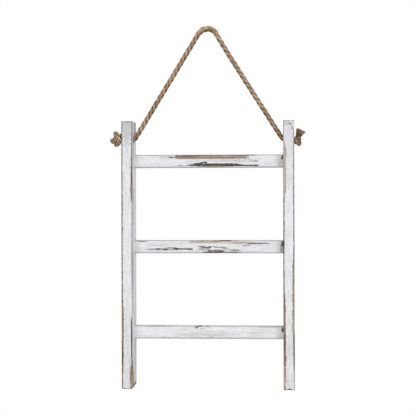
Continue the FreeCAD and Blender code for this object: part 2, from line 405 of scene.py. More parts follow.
def jute_finish():
    """The whole finish of jute."""
    finish, shader, here = new_finish("jute")
    tree = finish.node_tree
    fibre = fibre_noise(tree)
    patch = noise(here, scale=120.0)
    layers = (
        (ease(fibre, 0.34, 0.52), JUTE_TAN),
        (ease(fibre, 0.46, 0.64), JUTE_PALE),
        (ease(patch, 0.40, 0.65, 0.0, 0.40), JUTE_DARK),
        # Painted shade in the grooves and at the root of a frayed end.
        (ease(kept(tree, "lift"), 0.70, 0.90, 0.84, 0.0), GROOVE_SHADE),
        # Painted shade on the underside.
        (ease(kept(tree, "upward"), -0.65, -0.10, 0.72, 0.0), UNDERSIDE_SHADE),
        # Darker towards the right end of the rope.
        (ease(split(here)["X"], RIGHT_END_DARK_FROM, RIGHT_END_DARK_TO, 0.0, 0.35), RIGHT_END_DARK),
    )
    roughness = ease(fibre, 0.3, 0.7, 0.95, 0.75)
    bump = {"Height": fibre, "Strength": 0.7, "Distance": 0.0006}
    dress(shader, layered(JUTE_DARK, layers), roughness, bump)
    shader.inputs["Specular IOR Level"].default_value = 0.25
    return finish


jute = jute_finish()
print("finish:", jute.name)

# %% [markdown]
# ## The route of the rope
# The rope starts at the knot outside the left rail, goes through the rail, rises straight to the hook,
# turns over it and comes down the same way on the right. A chain of straight runs would look like bent
# wire, so these few points steer one smooth NURBS line instead. Blender turns a curve without thickness
# into a chain of edges, and the strands follow that chain.

# %% Smooth line of the rope
HOLE_Z = -0.2045
LINE_STEPS = 48
ROPE_CORNERS = [
    (-0.1618, 0.0, HOLE_Z),
    (-0.1538, 0.0, HOLE_Z),
    (-0.1408, 0.0, HOLE_Z),
    (-0.1341, 0.0, -0.1934),
    (-0.0276, 0.0, -0.0193),
    (-0.0132, 0.0, 0.0050),
    (0.0106, 0.0, 0.0056),
    (0.0230, 0.0, -0.0193),
    (0.1335, 0.0, -0.1934),
    (0.1408, 0.0, HOLE_Z),
    (0.1538, 0.0, HOLE_Z),
    (0.1618, 0.0, HOLE_Z),
]


def smooth_line(name, corners):
    """One smooth line steered by the given points, as a chain of edges."""
    curve = bpy.data.curves.new(name, "CURVE")
    curve.dimensions = "3D"
    spline = curve.splines.new("NURBS")
    spline.points.add(len(corners) - 1)
    for point, corner in zip(spline.points, corners):
        point.co = (*corner, 1.0)
    spline.order_u = 3
    spline.use_endpoint_u = True
    spline.resolution_u = LINE_STEPS
    carrier = bpy.data.objects.new(name, curve)
    bpy.context.scene.collection.objects.link(carrier)
    chain = bpy.data.meshes.new_from_object(carrier)
    bpy.data.objects.remove(carrier)
    return chain


rope_chain = smooth_line("rope_line", ROPE_CORNERS)

# %% [markdown]
# ## Laid rope
# A laid rope is three strands wound round each other, and each strand is a bundle of yarns wound the
# other way, so that on the outside the yarns run nearly along the rope. A smooth tube with a bump would
# show neither at its outline, so every yarn is modelled. One recipe makes any such rope: it copies the
# chain once for each yarn, pushes each copy sideways by two turning amounts, the strand's and its own,
# and sweeps a ring along it. The offsets and the yarn's radius are shares of the rope's thickness.

# %% Winding the yarns
STRANDS = 3
YARNS = 6
STRAND_OFFSET = 0.175
YARN_OFFSET = 0.190
NUMBER_STEP = 0.618


def yarn_copies(tree, given):
    """The chain with evenly spaced points, once for each yarn."""
    chain = step(tree, "MeshToCurve", {"Mesh": given["Geometry"]})
    spaced = {"Curve": chain, "Length": given["Step"]}
    even = step(tree, "ResampleCurve", spaced, mode="LENGTH")
    copied = {"Geometry": even, "Amount": STRANDS * YARNS}
    return place(tree, "GeometryNodeDuplicateElements", copied, domain="SPLINE").outputs


def pushed_round(tree, turns, size):
    """A sideways push of one size that turns as the rope runs on."""
    ahead = step(tree, "InputTangent")
    up = step(tree, "InputNormal")
    across = on_vector("CROSS_PRODUCT", ahead, up)
    angle = times(turns, 2 * math.pi)
    push_up = scaled(up, figure("COSINE", angle))
    push_across = scaled(across, figure("SINE", angle))
    return scaled(on_vector("ADD", push_up, push_across), size)


def wound_yarns(tree, given, swell):
    """The yarns as lines: each winds round its strand, and each strand round the rope."""
    copies = yarn_copies(tree, given)
    reach = place(tree, "GeometryNodeSplineParameter").outputs["Length"]
    yarn_share = over(copies["Duplicate Index"], float(YARNS))
    strand_share = over(figure("FLOOR", yarn_share), float(STRANDS))
    strand_turns = minus(strand_share, over(reach, given["Lay Length"]))
    yarn_turns = plus(yarn_share, over(reach, given["Yarn Lay"]))
    width = times(given["Thickness"], swell)
    strand_push = pushed_round(tree, strand_turns, times(width, STRAND_OFFSET))
    yarn_push = pushed_round(tree, yarn_turns, times(width, YARN_OFFSET))
    push = on_vector("ADD", strand_push, yarn_push)
    moved = {"Geometry": copies["Geometry"], "Offset": push}
    wound = step(tree, "SetPosition", moved)
    own_number = figure("FRACT", times(copies["Duplicate Index"], NUMBER_STEP))
    return keep_value(keep_value(wound, "along", reach), "tint", own_number)


print("yarns in a rope:", STRANDS * YARNS)

# %% Recipe for laid rope
YARN_SIDES = 6
YARN_RADIUS = 0.135
BEND_REACH = 0.06
# One input sets how much painted shade the underside gets.
ROPE_INPUTS = {"Float": ["Thickness", "Swell", "Underside Shade", "Lay Length", "Yarn Lay", "Step"]}


def marked_surface(tree, given, mesh):
    """Keeps how near to the rope's surface each point is, and how far up it faces times the painted shade
    on the underside.
    """
    axis = place(tree, "GeometryNodeProximity", {0: given["Geometry"]}, target_element="EDGES").outputs
    lift = over(axis["Distance"], times(given["Thickness"], 0.5))
    outward = on_vector("SUBTRACT", position(tree), axis["Position"])
    rise = split(on_vector("NORMALIZE", outward))["Z"]
    mesh = keep_value(mesh, "lift", lift)
    return keep_value(mesh, "upward", times(rise, given["Underside Shade"]))


def laid_rope_recipe():
    """The whole recipe. The rope swells where it bends over the hook, in the middle of its length."""
    tree, given = new_tree("laid_rope", ROPE_INPUTS)
    factor = place(tree, "GeometryNodeSplineParameter").outputs["Factor"]
    off_middle = figure("ABSOLUTE", minus(factor, 0.5))
    swell = ease(off_middle, 0.0, BEND_REACH, given["Swell"], 1.0)
    yarns = wound_yarns(tree, given, swell)
    yarn_radius = times(given["Thickness"], YARN_RADIUS)
    mesh = sweep(yarns, yarn_radius, YARN_SIDES, swell)
    close_tree(marked_surface(tree, given, mesh), jute)
    return tree


laid_rope = laid_rope_recipe()
print("recipe:", laid_rope.name)

# %% Hanging rope
ROPE_THICKNESS = 0.0098
BEND_SWELL = 1.18
LAY_SHARE = 3.6
YARN_LAY_SHARE = 4.2
STEP_SHARE = 0.18


def rope_sizes(thickness, swell, underside_shade):
    """What the recipe takes: thickness, how much thicker the middle is, how much painted shade the
    underside gets.
    """
    return {
        "Thickness": thickness,
        "Swell": swell,
        "Underside Shade": underside_shade,
        "Lay Length": LAY_SHARE * thickness,
        "Yarn Lay": YARN_LAY_SHARE * thickness,
        "Step": STEP_SHARE * thickness,
    }


rope = run_tree("rope", laid_rope, rope_chain, rope_sizes(ROPE_THICKNESS, BEND_SWELL, 1.0))
print(rope.name, len(rope.data.vertices), "points")

# %% [markdown]
# ## Stopper knots
# Each end is stopped by an overhand knot, pulled up against the outside of its rail. Placing its points
# by eye would take long and the strands would cut each other. An overhand knot is a trefoil, a line that
# goes round twice while it weaves in and out three times, so a few points of that curve steer a smooth
# line. The recipe for laid rope follows it with thinner, pulled strands.

# %% Knot routes
RAIL_OUTER = 0.1615
KNOT_SEAT_GAP = 0.0003
KNOT_STRAND_GAP = 0.0006
WAVES_APART = 1.64
CORE_ANGLE = 300
ENTRY_ANGLE = 290
KNOT_POINTS = 20
KNOTS = {
    "left": {"sign": -1, "rope": 0.0078, "exit": 36, "roll": 290, "hand": 1},
    "right": {"sign": 1, "rope": 0.0058, "exit": 33, "roll": 245, "hand": -1},
}


def trefoil(wave, angle):
    """A point of the knot's middle line, as (front, rise, out) from the knot's middle."""
    turn = math.radians(angle)
    reach = 2 * wave + wave * math.cos(3 * turn)
    return Vector((reach * math.cos(2 * turn), reach * math.sin(2 * turn), wave * math.sin(3 * turn)))


def rolled(knot, spot):
    """A (front, rise, out) vector with the knot's hand and its roll round the rope."""
    handed = Vector((spot.x * knot["hand"], spot.y, spot.z))
    return Matrix.Rotation(math.radians(knot["roll"]), 3, "Z") @ handed


def knot_route(knot):
    """The points that steer one knot, from the rail's face to its last crossing."""
    wave = (knot["rope"] + KNOT_STRAND_GAP) / WAVES_APART
    core = trefoil(wave, CORE_ANGLE)
    centre = Vector((-core.x, -core.y, KNOT_SEAT_GAP + wave + knot["rope"] / 2))
    route = [Vector((0.0, 0.0, KNOT_SEAT_GAP))]
    for index in range(KNOT_POINTS + 1):
        angle = ENTRY_ANGLE + (knot["exit"] - ENTRY_ANGLE) * index / KNOT_POINTS
        route.append(rolled(knot, centre + trefoil(wave, angle)))
    return route


def beside_rail(sign, spot):
    """From (front, rise, out) at the mouth of the rope hole to the shared frame."""
    return Vector((sign * (RAIL_OUTER + spot.z), -spot.x, HOLE_Z + spot.y))


print("points in a knot's route:", len(knot_route(KNOTS["left"])))

# %% Knots
KNOT_PLUMP = 1.18
# Knots get less painted shade on their underside than the hanging rope.
KNOT_UNDERSIDE_SHADE = 0.4
TAIL_ROOTS = {"left": (0.0151, -0.0025, 0.0157), "right": (0.0125, 0.0050, 0.0078)}
TAIL_AIMS = {"left": (0.50, -0.45, 0.60), "right": (0.05, 0.88, 0.44)}
knots = {}
roots = {}
for side_name, knot in KNOTS.items():
    aim = Vector(TAIL_AIMS[side_name]).normalized()
    route = [*knot_route(knot), Vector(TAIL_ROOTS[side_name])]
    corners = [beside_rail(knot["sign"], spot) for spot in route]
    knot_line = smooth_line("knot_line", corners)
    knot_sizes = rope_sizes(knot["rope"] * KNOT_PLUMP, 1.0, KNOT_UNDERSIDE_SHADE)
    knots[side_name] = run_tree("knot_" + side_name + "_strands", laid_rope, knot_line, knot_sizes)
    ahead_of_root = beside_rail(knot["sign"], route[-1] + aim)
    roots[side_name] = (corners[-1], (ahead_of_root - corners[-1]).normalized())
    print(knots[side_name].name, len(knots[side_name].data.vertices), "points")

# %% [markdown]
# ## Frayed ends
# Past the knot the lay opens and the yarns spread like a small brush: a short tuft on the left, a wide fan
# on the right. A hair system could grow it, but a recipe of a few steps gives plain meshes at once. It
# scatters starting places over a disc as wide as the rope, grows a line from each, spreads the lines as
# they get longer, lets them wander a little and sweeps a thin ring along them.

# %% Recipe for frayed ends
YARN_POINTS = 8
DISC_POINTS = 24
FRAY_SIDES = 5
MOST_YARNS = 2e7
WANDER = 0.8
FRAY_INPUTS = {
    "Float": ["Root Radius", "End Radius", "Tail Length", "Yarn Radius", "Spacing"],
    "Vector": ["Root", "Direction"],
    "Int": ["Seed"],
}


def yarn_starts(tree, given):
    """An upright line of length 1 at each starting place on the disc."""
    round_disc = {"Vertices": DISC_POINTS, "Radius": given["Root Radius"]}
    disc = step(tree, "MeshCircle", round_disc, fill_type="NGON")
    scatter = {"Mesh": disc, "Distance Min": given["Spacing"], "Seed": given["Seed"]}
    scatter["Density Max"] = MOST_YARNS
    points = step(tree, "DistributePointsOnFaces", scatter, distribute_method="POISSON")
    line = step(tree, "CurvePrimitiveLine", {"Start": (0, 0, 0), "End": (0, 0, 1)})
    line = step(tree, "ResampleCurve", {"Curve": line, "Count": YARN_POINTS})
    lines = step(tree, "InstanceOnPoints", {"Points": points, "Instance": line})
    return step(tree, "RealizeInstances", {0: lines})


def spread_yarns(tree, given):
    """The lines spread into a brush, each with its own length and its own way."""
    start_place = on_vector("MULTIPLY", position(tree), (1.0, 1.0, 0.0))
    own = place(tree, "ShaderNodeTexNoise", {"Vector": start_place, "Scale": 2600.0, "Detail": 0.0}).outputs
    run = place(tree, "GeometryNodeSplineParameter").outputs
    grown = run["Factor"]
    widen = minus(over(given["End Radius"], given["Root Radius"]), 1.0)
    spread = figure("MULTIPLY_ADD", widen, figure("POWER", grown, 1.25), 1.0)
    own_length = ease(own[0], 0.3, 0.7, 0.88, 1.04)
    raised = joined(Z=times(times(grown, given["Tail Length"]), own_length))
    astray = times(grown, times(given["Root Radius"], WANDER))
    wander = scaled(on_vector("SUBTRACT", own[1], (0.5, 0.5, 0.5)), astray)
    upright = on_vector("ADD", scaled(start_place, spread), raised)
    moved = {"Geometry": yarn_starts(tree, given), "Position": on_vector("ADD", upright, wander)}
    brush = step(tree, "SetPosition", moved)
    brush = keep_value(brush, "along", run["Length"])
    brush = keep_value(brush, "tint", own[0])
    # A made-up value, low at the root: the finish paints shade into the root of the brush and leaves the
    # tips light.
    brush = keep_value(brush, "lift", ease(grown, 0.0, 0.8, 0.60, 0.84))
    return sweep(brush, given["Yarn Radius"], FRAY_SIDES, ease(grown, 0.2, 1.0, 1.0, 0.70))


def frayed_end_recipe():
    """The whole recipe: the brush is made upright and then turned and moved to the rope's end."""
    tree, given = new_tree("frayed_end", FRAY_INPUTS)
    moved = {"Geometry": spread_yarns(tree, given), "Translation": given["Root"]}
    moved["Rotation"] = turned_to(given["Direction"])
    close_tree(step(tree, "Transform", moved), jute)
    return tree


fray = frayed_end_recipe()
print("recipe:", fray.name)

# %% Frayed ends of the rope
FRAY_YARNS = {"Yarn Radius": 0.00060, "Spacing": 0.00042}
FRAY_SIZES = {
    "left": {"Root Radius": 0.0036, "End Radius": 0.0044, "Tail Length": 0.0046, "Seed": 4},
    "right": {"Root Radius": 0.0046, "End Radius": 0.0090, "Tail Length": 0.0130, "Seed": 9},
}
ROOT_DEPTH = 0.0010
tails = {}
for side_name, fray_sizes in FRAY_SIZES.items():
    root, direction = roots[side_name]
    placed = {"Root": root - direction * ROOT_DEPTH, "Direction": direction}
    fray_start = bpy.data.meshes.new("fray_start")
    tail_name = "tail_" + side_name + "_yarns"
    tails[side_name] = run_tree(tail_name, fray, fray_start, {**FRAY_YARNS, **placed, **fray_sizes})
    print(tail_name, len(tails[side_name].data.vertices), "points")

# %% [markdown]
# ## Loose fibres
# Jute is hairy: the ends of single fibres work loose and stand off the yarns. Painted fuzz would vanish at
# the outline, where hairs show most. The recipe strews points over the outside of a rope, where 'lift' is
# high, sets a short bent line on each, leaning its own way, and sweeps a very thin ring along it. Near the
# rails the wood has rubbed the rope smooth.

# %% Recipe for loose fibres
FIBRE_SIDES = 3
FIBRE_RUNS = 3
FIBRE_LEAN = 1.4
OUTSIDE_LIFT = 0.86
BENT_LINE = {"Start": (0.0, 0.0, -0.2), "Middle": (0.0, 0.0, 0.6), "End": (0.6, 0.0, 1.0)}
FIBRE_INPUTS = {
    "Float": ["Density", "Smooth From", "Smooth To", "Shortest", "Longest", "Fibre Radius"],
    "Int": ["Seed"],
}


def hairy_places(tree, given):
    """Points on the outside of the rope, apart from where it has been rubbed smooth."""
    from_centre = figure("ABSOLUTE", split(position(tree))["X"])
    past_start = figure("GREATER_THAN", from_centre, given["Smooth From"])
    before_end = figure("LESS_THAN", from_centre, given["Smooth To"])
    hairy = minus(1.0, times(past_start, before_end))
    lift = step(tree, "InputNamedAttribute", {"Name": "lift"}, data_type="FLOAT")
    outside = figure("GREATER_THAN", lift, OUTSIDE_LIFT)
    density = times(given["Density"], times(hairy, outside))
    strewn = {"Mesh": given["Geometry"], "Density": density, "Seed": given["Seed"]}
    return place(tree, "GeometryNodeDistributePointsOnFaces", strewn, distribute_method="RANDOM").outputs


def loose_hairs(tree, given):
    """A short bent line on each point, with its own lean and its own length."""
    strewn = hairy_places(tree, given)
    any_way = {0: (-1.0, -1.0, -1.0), 1: (1.0, 1.0, 1.0), "Seed": given["Seed"]}
    lean = place(tree, "FunctionNodeRandomValue", any_way, data_type="FLOAT_VECTOR").outputs[0]
    leaning = turned_to(on_vector("ADD", strewn["Normal"], scaled(lean, FIBRE_LEAN)))
    lengths = {2: given["Shortest"], 3: given["Longest"], "Seed": given["Seed"]}
    length = place(tree, "FunctionNodeRandomValue", lengths, data_type="FLOAT").outputs[1]
    rooted = keep_value(strewn["Points"], "tint", place(tree, "FunctionNodeRandomValue").outputs[1])
    bent = step(tree, "CurveQuadraticBezier", {"Resolution": FIBRE_RUNS, **BENT_LINE})
    grown = {"Points": rooted, "Instance": bent, "Rotation": leaning, "Scale": length}
    hairs = step(tree, "InstanceOnPoints", grown)
    return step(tree, "RealizeInstances", {0: hairs})


def loose_fibre_recipe():
    """The whole recipe: hairs that get slimmer towards their tips."""
    tree, given = new_tree("loose_fibres", FIBRE_INPUTS)
    run = place(tree, "GeometryNodeSplineParameter").outputs
    hairs = keep_value(loose_hairs(tree, given), "along", run["Length"])
    hairs = keep_value(hairs, "lift", 1.0)
    slimmer = ease(run["Factor"], 0.3, 1.0, 1.0, 0.4)
    close_tree(sweep(hairs, given["Fibre Radius"], FIBRE_SIDES, slimmer), jute)
    return tree


fuzz = loose_fibre_recipe()
print("recipe:", fuzz.name)

# %% Fibres of the rope and of the knots
FIBRE_SIZES = {
    "Density": 140000.0,
    "Shortest": 0.0008,
    "Longest": 0.0034,
    "Fibre Radius": 0.00007,
    "Smooth From": 0.112,
    "Smooth To": 0.168,
    "Seed": 5,
}
fibres = []
for hairy_piece in (rope, *knots.values()):
    fibres.append(run_tree(hairy_piece.name + "_fibres", fuzz, hairy_piece.data, FIBRE_SIZES))
    print(fibres[-1].name, len(fibres[-1].data.vertices), "points")

# %% [markdown]
# ## Effects that the painted pieces share
# Rails and rungs have one finish: thin white paint over wood, rubbed through where hands and tools
# would reach. One material for all five would wear them alike. It is made from four small shader groups,
# so that every piece shows the same paint and the same wood and differs only in where it is worn.

# %% Shader groups
def new_group(name, inputs, outputs):
    """An empty shader group with named inputs and outputs."""
    group = bpy.data.node_groups.new(name, "ShaderNodeTree")
    add_sockets(group, "INPUT", inputs)
    add_sockets(group, "OUTPUT", outputs)
    return group, place(group, "NodeGroupInput").outputs, place(group, "NodeGroupOutput").inputs


def use_group(group, inputs):
    """Places a shader group in a material and gives its outputs."""
    return place(tree_of(*inputs.values()), "ShaderNodeGroup", inputs, node_tree=group).outputs


def stretched(vector, stretch):
    """Coordinates in which a pattern is drawn out along the wood."""
    return on_vector("MULTIPLY", vector, stretch)


print("group helpers ready")

# %% [markdown]
# ### White paint
# The paint is brushed on thin. It is a cool white with faint streaks along the piece, softer grey
# clouds, and fine specks where the wood's pores show. An image of paint would repeat and blur from close
# by, so three noises of different sizes are laid over each other.

# %% White paint group
PAINT_WHITE = (0.806, 0.812, 0.838)
PAINT_SHADE = (0.655, 0.660, 0.668)
PAINT_GREY = (0.450, 0.455, 0.445)


def white_paint_group():
    """The paint's colour and its height."""
    outputs = {"Color": ["Colour"], "Float": ["Height"]}
    group, given, result = new_group("white_paint", {"Vector": ["Vector", "Stretch"]}, outputs)
    drawn_out = stretched(given["Vector"], given["Stretch"])
    streak = noise(drawn_out, scale=420.0, detail=4.0, roughness=0.62)
    cloud = noise(given["Vector"], scale=45.0)
    speck = noise(given["Vector"], scale=640.0, roughness=0.6)
    layers = (
        (ease(streak, 0.30, 0.62), PAINT_WHITE),
        (ease(cloud, 0.48, 0.75, 0.0, 0.35), PAINT_SHADE),
        (ease(speck, 0.56, 0.72, 0.0, 0.50), PAINT_GREY),
    )
    group.links.new(layered(PAINT_SHADE, layers), result["Colour"])
    group.links.new(plus(streak, speck), result["Height"])
    return group


white_paint = white_paint_group()
print("group:", white_paint.name)

# %% [markdown]
# ### Grain of bare wood
# Where the paint is gone, dark and pale grain lines run along the piece. The group gives a number
# near 1 that lightens or darkens whatever wood colour a worn place has.

# %% Wood grain group
def wood_grain_group():
    """How light or dark the grain is."""
    group, given, result = new_group("wood_grain", {"Vector": ["Vector", "Stretch"]}, {"Float": ["Shade"]})
    drawn_out = stretched(given["Vector"], given["Stretch"])
    coarse = noise(drawn_out, scale=330.0, detail=4.0, roughness=0.6)
    fine = noise(drawn_out, scale=1500.0)
    shade = plus(ease(coarse, 0.30, 0.70, 0.50, 1.15), fine)
    group.links.new(minus(shade, 0.35), result["Shade"])
    return group


wood_grain = wood_grain_group()
print("group:", wood_grain.name)

# %% [markdown]
# ### Worn arris
# An arris is the long edge between two faces. Sanding takes the paint off it in a ragged band. The
# group measures how far a point is from the arris, on whichever face it lies, and compares that with
# the band's width. It gives the bare band and a dark rim where dirt gathers against the paint.

# %% Worn arris group
LEAST_REACH = 0.00005
ARRIS_INPUTS = {"Vector": ["Vector"], "Float": ["Edge X", "Edge Y", "Width"]}


def worn_arris_group():
    """The bare band along an arris and its dark rim."""
    group, given, result = new_group("worn_arris", ARRIS_INPUTS, {"Float": ["Bare", "Rim"]})
    parts = split(given["Vector"])
    off_x = figure("ABSOLUTE", minus(parts["X"], given["Edge X"]))
    off_y = figure("ABSOLUTE", minus(parts["Y"], given["Edge Y"]))
    drawn_out = stretched(given["Vector"], (1.0, 1.0, 0.45))
    jag = noise(drawn_out, scale=420.0, detail=4.0, roughness=0.7)
    reach = times(given["Width"], ease(jag, 0.25, 0.75, 0.60, 1.40))
    near = over(larger(off_x, off_y), plus(reach, LEAST_REACH))
    bare = ease(near, 0.88, 1.05, 1.0, 0.0)
    inside = ease(near, 0.55, 0.85, 1.0, 0.0)
    group.links.new(bare, result["Bare"])
    group.links.new(minus(bare, inside), result["Rim"])
    return group


worn_arris = worn_arris_group()
print("group:", worn_arris.name)

# %% [markdown]
# ### Scuff
# A scuff is a patch on a face where the paint is rubbed off: a long ellipse, or with a higher number for
# Blunt a bar with square ends. Its outline is broken up by Rough and its middle line swings by Wave, two
# noises that the piece works out once for all its scuffs. The group gives a mask, 1 inside the patch.

# %% Scuff group
SCUFF_SIZES = ["Middle X", "Middle Z", "Half Length", "Half Height", "Blunt", "Ragged", "Wobble"]
SCUFF_INPUTS = {"Vector": ["Vector"], "Float": ["Rough", "Wave", *SCUFF_SIZES]}


def scuff_group():
    """The mask of one scuff."""
    group, given, result = new_group("scuff", SCUFF_INPUTS, {"Float": ["Mask"]})
    parts = split(given["Vector"])
    along = over(minus(parts["X"], given["Middle X"]), given["Half Length"])
    squared_off = figure("POWER", figure("ABSOLUTE", along), given["Blunt"])
    swing = figure("MULTIPLY_ADD", given["Wave"], given["Wobble"], given["Middle Z"])
    rise = over(minus(parts["Z"], swing), given["Half Height"])
    away = figure("SQRT", figure("MULTIPLY_ADD", rise, rise, squared_off))
    away = figure("MULTIPLY_ADD", given["Rough"], given["Ragged"], away)
    group.links.new(ease(away, 0.84, 1.04, 1.0, 0.0), result["Mask"])
    return group


scuff = scuff_group()
print("group:", scuff.name)

# %% [markdown]
# ### Placing scuffs
# A scuff's row in a table gives its sizes in millimetres, in the order of SCUFF_SIZES. Blunt and Ragged
# are plain numbers. After the sizes come the scuff's strength and its colour.

# %% Scuffs from a table
MILLI = 0.001
PLAIN_NUMBERS = ("Blunt", "Ragged")


def roughness_of(here, coarse_stretch, fine_stretch):
    """Noise around 0 that breaks up the outlines of scuffs."""
    coarse = noise(stretched(here, coarse_stretch), scale=380.0, detail=4.0, roughness=0.65)
    fine = noise(stretched(here, fine_stretch), scale=800.0)
    return figure("MULTIPLY_ADD", minus(fine, 0.5), 1.5, minus(coarse, 0.5))


def scuff_mask(here, rough, wave, mark):
    """The mask of one scuff, from its row of a table."""
    inputs = {"Vector": here, "Rough": rough, "Wave": wave}
    for name, size in zip(SCUFF_SIZES, mark):
        inputs[name] = size if name in PLAIN_NUMBERS else size * MILLI
    return use_group(scuff, inputs)["Mask"]


def spotted(here, rough, spots, face, colour):
    """Lays a table of spots over a colour, on one face only."""
    for *mark, strength, spot_colour in spots:
        mask = times(scuff_mask(here, rough, 0.0, mark), face)
        colour = blend_colours(times(mask, strength), colour, spot_colour)
    return colour


print("sizes of a scuff:", len(SCUFF_SIZES))

# %% [markdown]
# ## Paint on the rails
# Both rails are worn along their arrises, each in its own way. A noise alone would wear them alike from
# top to foot. So for every arris a colour ramp over the height says what shows there: its colour is the
# wood's colour and its alpha is the width of the band, as a share of ten millimetres. Each stop below
# has a height in millimetres, a colour and a width in millimetres.

# %% Worn arrises of the rails
RAIL_TOP = -0.1705
RAIL_FOOT = -0.6705
RAIL_INNER = 0.141
RAIL_BACK = 0.013
BARE_WOOD = (0.300, 0.205, 0.135)
DIRT = (0.050, 0.040, 0.032)
BROWN = (0.250, 0.175, 0.143)
GREY_BROWN = (0.230, 0.205, 0.190)
OLIVE_GREY = (0.420, 0.420, 0.385)
TAN = (0.400, 0.300, 0.205)
GOLDEN = (0.290, 0.205, 0.125)
DUN = (0.400, 0.325, 0.270)
PALE_TAN = (0.560, 0.485, 0.420)
FOX_BROWN = (0.280, 0.180, 0.115)
DEEP_BROWN = (0.150, 0.098, 0.068)
DARK_LINE = (0.075, 0.060, 0.050)
LEFT_ARRISES = {
    (-RAIL_OUTER, FRONT_Y): (
        (-170, GREY_BROWN, 2.8),
        (-215, GREY_BROWN, 2.4),
        (-260, BROWN, 2.2),
        (-330, BROWN, 2.7),
        (-400, DEEP_BROWN, 2.3),
        (-500, DEEP_BROWN, 2.6),
        (-520, GOLDEN, 4.0),
        (-575, GOLDEN, 4.2),
        (-590, DEEP_BROWN, 3.8),
        (-620, DEEP_BROWN, 3.6),
        (-640, FOX_BROWN, 3.0),
        (-670, TAN, 2.4),
    ),
    (-RAIL_INNER, FRONT_Y): (
        (-170, GREY_BROWN, 1.8),
        (-190, BROWN, 1.9),
        (-245, BROWN, 1.8),
        (-262, BROWN, 2.6),
        (-306, BROWN, 3.0),
        (-316, BROWN, 2.2),
        (-324, OLIVE_GREY, 1.3),
        (-400, OLIVE_GREY, 1.6),
        (-455, GREY_BROWN, 1.3),
        (-536, OLIVE_GREY, 0.8),
        (-610, OLIVE_GREY, 0.8),
        (-618, DEEP_BROWN, 1.5),
        (-640, BROWN, 2.4),
        (-670, TAN, 3.0),
    ),
}
RIGHT_ARRISES = {
    (RAIL_INNER, FRONT_Y): (
        (-170, GREY_BROWN, 1.2),
        (-205, OLIVE_GREY, 1.4),
        (-218, DUN, 4.9),
        (-300, DUN, 5.0),
        (-318, GREY_BROWN, 2.4),
        (-410, DARK_LINE, 1.9),
        (-490, DARK_LINE, 1.8),
        (-505, BROWN, 3.6),
        (-560, BROWN, 3.6),
        (-578, BROWN, 4.3),
        (-615, BROWN, 4.2),
        (-628, TAN, 3.9),
        (-670, DUN, 4.0),
    ),
    (RAIL_OUTER, FRONT_Y): (
        (-170, OLIVE_GREY, 1.8),
        (-182, GREY_BROWN, 2.4),
        (-260, GREY_BROWN, 2.2),
        (-330, DARK_LINE, 1.9),
        (-420, DARK_LINE, 2.0),
        (-436, BROWN, 3.8),
        (-560, DUN, 4.2),
        (-574, DARK_LINE, 2.8),
        (-620, DARK_LINE, 2.7),
        (-640, GREY_BROWN, 1.6),
        (-670, OLIVE_GREY, 1.4),
    ),
}
HIDDEN_WEAR = (
    (-170, BROWN, 1.8),
    (-300, TAN, 2.6),
    (-420, GREY_BROWN, 1.4),
    (-560, BROWN, 2.8),
    (-670, TAN, 2.2),
)
print("arrises that show:", len(LEFT_ARRISES) + len(RIGHT_ARRISES))

# %% Tools for worn rails
WIDEST_BAND = 0.010
RIM_DIRT = 0.45
HOLE_EDGE = 0.0064
HOLE_BLUR = 0.0006


def band_ramp(height, stops):
    """A colour ramp over the rail's height, with the band's width in its alpha."""
    made = place(height.id_data, "ShaderNodeValToRGB", {"Fac": height})
    elements = made.color_ramp.elements
    while len(elements) < len(stops):
        elements.new(0.5)
    rising = sorted(stops, key=lambda stop: stop[0])
    for element, (level, wood_colour, width) in zip(elements, rising):
        element.position = (level * MILLI - RAIL_FOOT) / (RAIL_TOP - RAIL_FOOT)
        element.color = (*wood_colour, width * MILLI / WIDEST_BAND)
    return made.outputs["Color"], made.outputs["Alpha"]


def worn_along(here, edges, grain, colour):
    """Takes the paint off along the arrises. Gives the new colour and the mask of bare wood."""
    span = {"Value": split(here)["Z"], "From Min": RAIL_FOOT, "From Max": RAIL_TOP}
    height = place(here.id_data, "ShaderNodeMapRange", span).outputs[0]
    bare = 0.0
    for (edge_x, edge_y), stops in edges.items():
        wood, share = band_ramp(height, stops)
        width = times(share, WIDEST_BAND)
        placed = {"Vector": here, "Edge X": edge_x, "Edge Y": edge_y, "Width": width}
        worn = use_group(worn_arris, placed)
        colour = blend_colours(worn["Bare"], colour, scaled(wood, grain))
        colour = blend_colours(times(worn["Rim"], RIM_DIRT), colour, DIRT)
        bare = larger(bare, worn["Bare"])
    return colour, bare


def hole_mask(parts):
    """1 inside the drilled rope hole."""
    rise = minus(parts["Z"], HOLE_Z)
    square = times(parts["Y"], parts["Y"])
    from_axis = figure("SQRT", figure("MULTIPLY_ADD", rise, rise, square))
    return ease(from_axis, HOLE_EDGE - HOLE_BLUR, HOLE_EDGE + HOLE_BLUR, 1.0, 0.0)


def end_mask(here, level, width):
    """1 on a sawn end and in a ragged line just beside it."""
    off = figure("ABSOLUTE", minus(split(here)["Z"], level))
    jag = ease(noise(here, scale=500.0, detail=3.0, roughness=0.7), 0.3, 0.7, 0.4, 1.5)
    return ease(over(off, times(jag, width)), 0.8, 1.1, 1.0, 0.0)


print("rail helpers ready")
